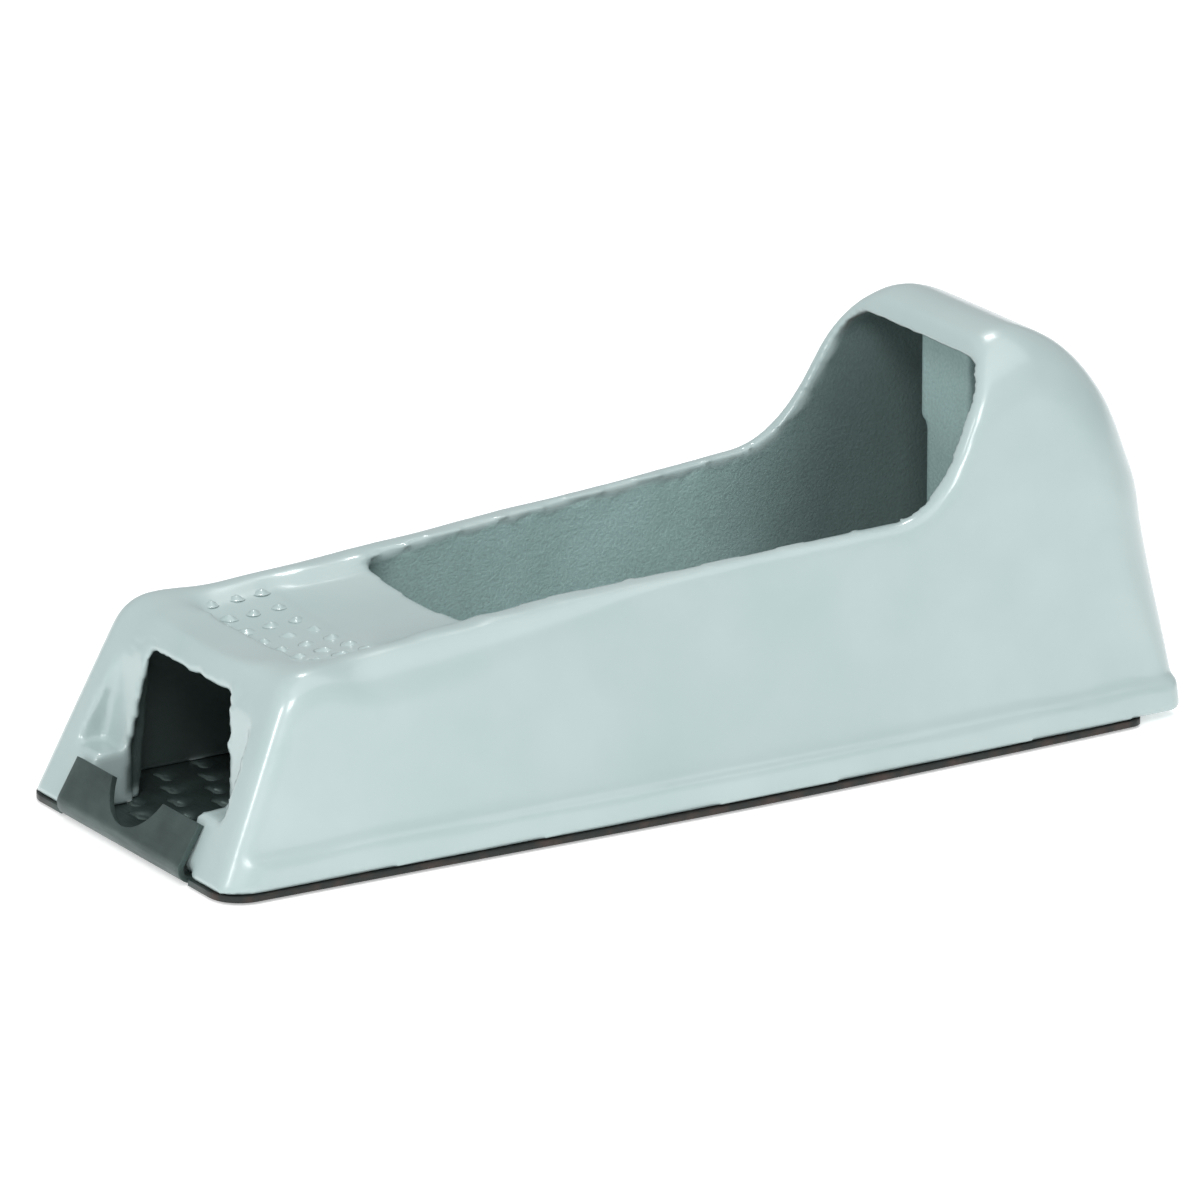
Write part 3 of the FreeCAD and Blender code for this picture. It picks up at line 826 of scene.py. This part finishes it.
def make_screw(material):
    """Slotted cheese-head screw with a real thread."""
    low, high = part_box("tension_screw")
    axis_y, axis_z = (low.y + high.y) / 2, (low.z + high.z) / 2
    mesh = bmesh.new()
    loops = []
    for x, fixed in screw_stations(low, high):
        loop = []
        for turn in range(SCREW_TURNS):
            angle = 2 * math.pi * turn / SCREW_TURNS
            reach = fixed or thread_radius(x - low.x, turn / SCREW_TURNS)
            y = axis_y + reach * math.cos(angle)
            z = axis_z + reach * math.sin(angle)
            loop.append(mesh.verts.new((x, y, z)))
        loops.append(loop)
    for a, b in zip(loops, loops[1:]):
        bridge(mesh, a, b, True)
    mesh.faces.new(loops[0])
    mesh.faces.new(loops[-1][::-1])
    bmesh.ops.recalc_face_normals(mesh, faces=mesh.faces)
    screw = piece_from("tension_screw_threaded", mesh, material)
    slot = slot_cutter(Vector((high.x, axis_y, axis_z)))
    cut = screw.modifiers.new("Slot", "BOOLEAN")
    cut.object = slot
    add_bevel(screw, 0.1, 60)
    applied(screw)
    bpy.data.objects.remove(slot)
    shade_smooth(screw)
    screw.data.set_sharp_from_angle(angle=math.radians(40))
    return screw


def slot_cutter(place):
    """Block that cuts the driver's slot, centred on the top of the head."""
    depth, width = DRIVER_SLOT
    size = Matrix.Diagonal((2 * depth * MM, 12 * MM, width * MM, 1))
    cutter = bmesh.new()
    bmesh.ops.create_cube(cutter, size=1.0, matrix=Matrix.Translation(place) @ size)
    data = bpy.data.meshes.new("slot_cutter")
    cutter.to_mesh(data)
    cutter.free()
    return link("slot_cutter", data)


def dress(node, material, width_mm):
    """A CAD piece that is shown as it is, with its sharp edges broken."""
    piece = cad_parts[node]
    piece.data.materials.clear()
    piece.data.materials.append(material)
    weld = piece.modifiers.new("Weld", "WELD")
    weld.merge_threshold = 0.002 * MM
    add_bevel(piece, width_mm, 35).harden_normals = True


# --------------------------------------------------------------------- build
paint_looks = paint()
blade_looks = blade_steel()
plated_looks = bright_steel("plated_steel_looks", PLATED_STEEL, 0.22)
plate_looks = bright_steel("plate_steel_looks", PLAIN_STEEL, 0.38)

body = make_body(paint_looks)
dots = make_dots(paint_looks)
blade = make_blade(blade_looks)
screw = make_screw(plated_looks)
dress("tension_plate", plate_looks, 0.25)
dress("screw_washer", plated_looks, 0.08)

for piece, name, material_slot in ((body, "body", "body_paint"), (dots, "body", "body_paint"),
                                   (blade, "blade", "blade_steel"), (screw, "screw", "plated_steel")):
    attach(piece, name)
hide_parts("body")
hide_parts("rasp_blade")
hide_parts("tension_screw")


# --------------------------------------------------------------------- stage
FLOOR_REACH = 6000
FLOOR_GAP = 0.02               # between the floor and the lowest tooth
FLOOR_GLOW = 0.45
WORLD = ((0.96, 0.98, 1.0, 1), 0.42)  # colour and strength of the light from all round
LIGHT_TARGET = (0, 0, 25)
# Name, place and size (both in metres) and power of each light.
LIGHTS = (("overhead", (0.15, -0.35, 1.2), (1.5, 1.1), 6.0),
          ("front_fill", (-0.60, -0.95, 0.85), (0.5, 0.4), 8.0),
          ("key_left", (-0.84, -0.26, 0.50), (0.10, 0.16), 2.2),
          ("sparkle", (0.25, 0.43, 0.88), (0.10, 0.10), 1.6))
CAMERA_AZIMUTH = math.radians(-31.613688)
CAMERA_ELEVATION = math.radians(17.908836)
CAMERA_TARGET = (-3, 0, 25)
CAMERA_DISTANCE = 1500
CAMERA_SHIFT = (1.43035, -3.38738)  # to the right and up, without turning the camera
CAMERA_LENS = 349.56
CAMERA_SENSOR = 36.0


def area_light(name, place, size, power):
    """Soft rectangular light that points at the middle of the plane."""
    lamp = bpy.data.lights.new(name, "AREA")
    lamp.shape = "RECTANGLE"
    lamp.size, lamp.size_y = size
    lamp.energy = power
    light = bpy.data.objects.new(name, lamp)
    bpy.context.scene.collection.objects.link(light)
    light.location = place
    aim = Vector(LIGHT_TARGET) * MM - Vector(place)
    light.rotation_euler = aim.to_track_quat("-Z", "Y").to_euler()


def make_stage():
    """Pale floor, even light from all round and the four soft lights."""
    floor_mesh = bpy.data.meshes.new("floor")
    reach = FLOOR_REACH * MM
    level = -(TOOTH_DROP + FLOOR_GAP) * MM
    corners = [(x * reach, y * reach, level) for x, y in ((-1, -1), (1, -1), (1, 1), (-1, 1))]
    floor_mesh.from_pydata(corners, [], [(0, 1, 2, 3)])
    floor = link("floor", floor_mesh)
    shader = Shader("pale_floor", Roughness=0.75)
    shader.to("Base Color", shader.ramp(shader.grain(60.0, 2.0), (0.3, 0.86), (0.7, 0.90)))
    shader.surface.inputs["Emission Color"].default_value = (1, 1, 1, 1)
    shader.surface.inputs["Emission Strength"].default_value = FLOOR_GLOW
    floor_mesh.materials.append(shader.material)
    world = bpy.data.worlds.new("studio")
    bpy.context.scene.world = world
    world.use_nodes = True
    background = world.node_tree.nodes["Background"]
    background.inputs["Color"].default_value, background.inputs["Strength"].default_value = WORLD
    for light in LIGHTS:
        area_light(*light)
    bpy.context.scene.view_settings.view_transform = "Standard"


def make_camera():
    """Long lens that looks at the toe and the right side from a little above."""
    flat = math.cos(CAMERA_ELEVATION)
    back = Vector((math.sin(CAMERA_AZIMUTH) * flat, -math.cos(CAMERA_AZIMUTH) * flat,
                   math.sin(CAMERA_ELEVATION)))
    right = Vector((math.cos(CAMERA_AZIMUTH), math.sin(CAMERA_AZIMUTH), 0))
    up = back.cross(right)
    data = bpy.data.cameras.new("camera")
    data.sensor_width = CAMERA_SENSOR
    data.lens = CAMERA_LENS
    data.clip_start, data.clip_end = 0.1, 20.0
    camera = bpy.data.objects.new("camera", data)
    bpy.context.scene.collection.objects.link(camera)
    away = back * CAMERA_DISTANCE + right * CAMERA_SHIFT[0] + up * CAMERA_SHIFT[1]
    place = (Vector(CAMERA_TARGET) + away) * MM
    camera.matrix_world = Matrix.Translation(place) @ Matrix((right, up, back)).transposed().to_4x4()
    bpy.context.scene.camera = camera


make_stage()
make_camera()
